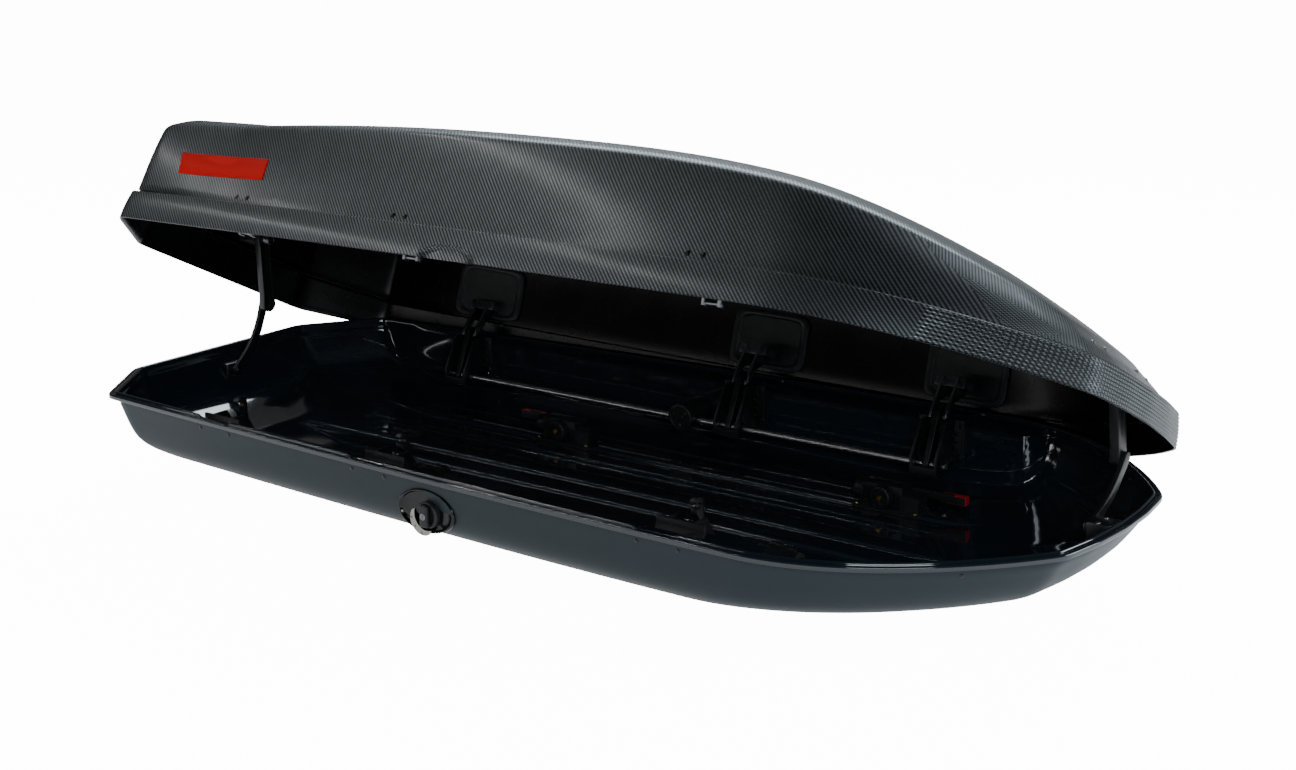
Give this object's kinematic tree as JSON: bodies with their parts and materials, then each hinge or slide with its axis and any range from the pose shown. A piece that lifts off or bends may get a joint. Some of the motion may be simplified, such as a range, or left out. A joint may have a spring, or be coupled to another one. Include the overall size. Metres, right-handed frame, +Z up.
{
  "type": "roof cargo box",
  "caption": "Hard-shell car roof box, lid propped open on its far latches, with lid struts, side locks and crossbar clamps in the floor.",
  "frame": {"origin": "on the flat keel pad under the tub, on the centreline and midway along the tub", "axes": "+X to the nose, +Y to the side whose latches stay hooked as the hinge, +Z up"},
  "size_m": [2.058, 0.9443, 0.7338],
  "materials": {
    "tub_abs": "gloss black vacuum-formed ABS",
    "lid_abs": "dark grey ABS embossed with a fine twill weave",
    "black_nylon": "moulded black nylon",
    "zinc_steel": "zinc-plated steel",
    "anodised_aluminium": "satin anodised tube",
    "satin_silver": "satin silver",
    "red_plastic": "moulded red plastic",
    "badge_enamel": "plain red badge plate"
  },
  "bodies": {
    "tub": {"base_tub": "tub_abs", "near_rear_latch_tower": "black_nylon", "near_middle_latch_tower": "black_nylon", "near_front_latch_tower": "black_nylon", "near_lock_case": "black_nylon", "near_lock_bezel": "black_nylon", "far_rear_latch_tower": "black_nylon", "far_middle_latch_tower": "black_nylon", "far_front_latch_tower": "black_nylon", "far_lock_case": "black_nylon", "far_lock_bezel": "black_nylon", "rear_lifter_tub_bracket": "black_nylon", "rear_near_clamp_housing": "black_nylon", "rear_far_clamp_housing": "black_nylon", "front_lifter_tub_bracket": "black_nylon", "front_near_clamp_housing": "black_nylon", "front_far_clamp_housing": "black_nylon"},
    "lid": {"lid_shell": "lid_abs", "side_badge": "badge_enamel", "near_rear_lid_catch": "zinc_steel", "near_middle_lid_catch": "zinc_steel", "near_front_lid_catch": "zinc_steel", "far_rear_lid_catch": "zinc_steel", "far_middle_lid_catch": "zinc_steel", "far_front_lid_catch": "zinc_steel", "rear_lifter_lid_bracket": "black_nylon", "rear_lifter_spring": "zinc_steel", "front_lifter_lid_bracket": "black_nylon", "front_lifter_spring": "zinc_steel"},
    "near_rod": {"near_rear_latch_hook": "black_nylon", "near_middle_latch_hook": "black_nylon", "near_front_latch_hook": "black_nylon", "near_latch_rod": "anodised_aluminium"},
    "near_knob": {"near_lock_knob": "black_nylon"},
    "near_key": {"near_key_barrel": "zinc_steel"},
    "near_thumb_lever": {"near_thumb_lever": "satin_silver"},
    "far_rod": {"far_rear_latch_hook": "black_nylon", "far_middle_latch_hook": "black_nylon", "far_front_latch_hook": "black_nylon", "far_latch_rod": "anodised_aluminium"},
    "far_knob": {"far_lock_knob": "black_nylon"},
    "far_key": {"far_key_barrel": "zinc_steel"},
    "far_thumb_lever": {"far_thumb_lever": "satin_silver"},
    "rear_lifter_arm": {"rear_lifter_arm": "black_nylon"},
    "rear_lifter_link": {"rear_lifter_link": "black_nylon"},
    "rear_near_clamp_dial": {"rear_near_clamp_dial": "black_nylon"},
    "rear_near_clamp_jaw": {"rear_near_clamp_sliding_jaw": "zinc_steel"},
    "rear_near_clamp_lever": {"rear_near_clamp_lever": "red_plastic"},
    "rear_far_clamp_dial": {"rear_far_clamp_dial": "black_nylon"},
    "rear_far_clamp_jaw": {"rear_far_clamp_sliding_jaw": "zinc_steel"},
    "rear_far_clamp_lever": {"rear_far_clamp_lever": "red_plastic"},
    "front_lifter_arm": {"front_lifter_arm": "black_nylon"},
    "front_lifter_link": {"front_lifter_link": "black_nylon"},
    "front_near_clamp_dial": {"front_near_clamp_dial": "black_nylon"},
    "front_near_clamp_jaw": {"front_near_clamp_sliding_jaw": "zinc_steel"},
    "front_near_clamp_lever": {"front_near_clamp_lever": "red_plastic"},
    "front_far_clamp_dial": {"front_far_clamp_dial": "black_nylon"},
    "front_far_clamp_jaw": {"front_far_clamp_sliding_jaw": "zinc_steel"},
    "front_far_clamp_lever": {"front_far_clamp_lever": "red_plastic"}
  },
  "joints": [
    {"name": "lid_hinge", "type": "hinge", "parent": "tub", "child": "lid", "pos_m": [0, 0.354, 0.141], "axis": [-1, 0, 0], "range_deg": [-27, 0]},
    {"name": "near_rod_turn", "type": "hinge", "parent": "tub", "child": "near_rod", "pos_m": [0, -0.319, 0.059], "axis": [1, 0, 0], "range_deg": [0, 20]},
    {"name": "near_knob_turn", "type": "hinge", "parent": "tub", "child": "near_knob", "pos_m": [-0.045, -0.42, 0.065], "axis": [0, -1, 0], "range_deg": [0, 90]},
    {"name": "near_key_turn", "type": "hinge", "parent": "near_knob", "child": "near_key", "pos_m": [-0.045, -0.42, 0.065], "axis": [0, -1, 0], "range_deg": [0, 90]},
    {"name": "near_thumb_lever_turn", "type": "hinge", "parent": "tub", "child": "near_thumb_lever", "pos_m": [-0.045, -0.42, 0.065], "axis": [0, -1, 0], "range_deg": [0, 25], "stiffness_Nm_per_rad": 0.4},
    {"name": "far_rod_turn", "type": "hinge", "parent": "tub", "child": "far_rod", "pos_m": [0, 0.319, 0.059], "axis": [1, 0, 0], "range_deg": [0, 20]},
    {"name": "far_knob_turn", "type": "hinge", "parent": "tub", "child": "far_knob", "pos_m": [-0.045, 0.42, 0.065], "axis": [0, 1, 0], "range_deg": [0, 90]},
    {"name": "far_key_turn", "type": "hinge", "parent": "far_knob", "child": "far_key", "pos_m": [-0.045, 0.42, 0.065], "axis": [0, 1, 0], "range_deg": [0, 90]},
    {"name": "far_thumb_lever_turn", "type": "hinge", "parent": "tub", "child": "far_thumb_lever", "pos_m": [-0.045, 0.42, 0.065], "axis": [0, 1, 0], "range_deg": [0, 25], "stiffness_Nm_per_rad": 0.4},
    {"name": "rear_arm_turn", "type": "hinge", "parent": "tub", "child": "rear_lifter_arm", "pos_m": [-0.968, 0, 0.09], "axis": [-1, 0, 0], "range_deg": [0, 33.3]},
    {"name": "rear_link_turn", "type": "hinge", "parent": "lid", "child": "rear_lifter_link", "pos_m": [-0.968, 0.08205, 0.35398], "axis": [-1, 0, 0], "range_deg": [-35.89, 0]},
    {"name": "front_arm_turn", "type": "hinge", "parent": "tub", "child": "front_lifter_arm", "pos_m": [0.952, 0, 0.121], "axis": [-1, 0, 0], "range_deg": [0, 34.75]},
    {"name": "front_link_turn", "type": "hinge", "parent": "lid", "child": "front_lifter_link", "pos_m": [0.952, 0.10975, 0.30922], "axis": [-1, 0, 0], "range_deg": [-18.93, 0]},
    {"name": "rear_near_clamp_dial_turn", "type": "hinge", "parent": "tub", "child": "rear_near_clamp_dial", "pos_m": [-0.239, -0.2, 0.0344], "axis": [0, 1, 0], "range_deg": [0, 360]},
    {"name": "rear_near_clamp_jaw_slide", "type": "slide", "parent": "tub", "child": "rear_near_clamp_jaw", "axis": [-1, 0, 0], "range_m": [0, 0.016]},
    {"name": "rear_near_clamp_lever_lift", "type": "hinge", "parent": "tub", "child": "rear_near_clamp_lever", "pos_m": [-0.245, -0.2, 0.0394], "axis": [0, 1, 0], "range_deg": [0, 80]},
    {"name": "rear_far_clamp_dial_turn", "type": "hinge", "parent": "tub", "child": "rear_far_clamp_dial", "pos_m": [-0.251, 0.2, 0.0344], "axis": [0, -1, 0], "range_deg": [0, 360]},
    {"name": "rear_far_clamp_jaw_slide", "type": "slide", "parent": "tub", "child": "rear_far_clamp_jaw", "axis": [1, 0, 0], "range_m": [0, 0.016]},
    {"name": "rear_far_clamp_lever_lift", "type": "hinge", "parent": "tub", "child": "rear_far_clamp_lever", "pos_m": [-0.245, 0.2, 0.0394], "axis": [0, 1, 0], "range_deg": [0, 80]},
    {"name": "front_near_clamp_dial_turn", "type": "hinge", "parent": "tub", "child": "front_near_clamp_dial", "pos_m": [0.491, -0.2, 0.0344], "axis": [0, 1, 0], "range_deg": [0, 360]},
    {"name": "front_near_clamp_jaw_slide", "type": "slide", "parent": "tub", "child": "front_near_clamp_jaw", "axis": [-1, 0, 0], "range_m": [0, 0.016]},
    {"name": "front_near_clamp_lever_lift", "type": "hinge", "parent": "tub", "child": "front_near_clamp_lever", "pos_m": [0.485, -0.2, 0.0394], "axis": [0, -1, 0], "range_deg": [0, 80]},
    {"name": "front_far_clamp_dial_turn", "type": "hinge", "parent": "tub", "child": "front_far_clamp_dial", "pos_m": [0.479, 0.2, 0.0344], "axis": [0, -1, 0], "range_deg": [0, 360]},
    {"name": "front_far_clamp_jaw_slide", "type": "slide", "parent": "tub", "child": "front_far_clamp_jaw", "axis": [1, 0, 0], "range_m": [0, 0.016]},
    {"name": "front_far_clamp_lever_lift", "type": "hinge", "parent": "tub", "child": "front_far_clamp_lever", "pos_m": [0.485, 0.2, 0.0394], "axis": [0, -1, 0], "range_deg": [0, 80]}
  ],
  "couplings": [
    {"joint": "near_knob_turn", "follows": "near_rod_turn", "ratio": 4.5},
    {"joint": "far_knob_turn", "follows": "far_rod_turn", "ratio": 4.5},
    {"joint": "rear_arm_turn", "follows": "lid_hinge", "ratio": -1.2315},
    {"joint": "rear_link_turn", "follows": "lid_hinge", "ratio": 1.3275},
    {"joint": "front_arm_turn", "follows": "lid_hinge", "ratio": -1.2852},
    {"joint": "front_link_turn", "follows": "lid_hinge", "ratio": 0.69934},
    {"joint": "rear_near_clamp_dial_turn", "follows": "rear_near_clamp_jaw_slide", "rad_per_m": 392.6},
    {"joint": "rear_far_clamp_dial_turn", "follows": "rear_far_clamp_jaw_slide", "rad_per_m": 392.6},
    {"joint": "front_near_clamp_dial_turn", "follows": "front_near_clamp_jaw_slide", "rad_per_m": 392.6},
    {"joint": "front_far_clamp_dial_turn", "follows": "front_far_clamp_jaw_slide", "rad_per_m": 392.6}
  ]
}
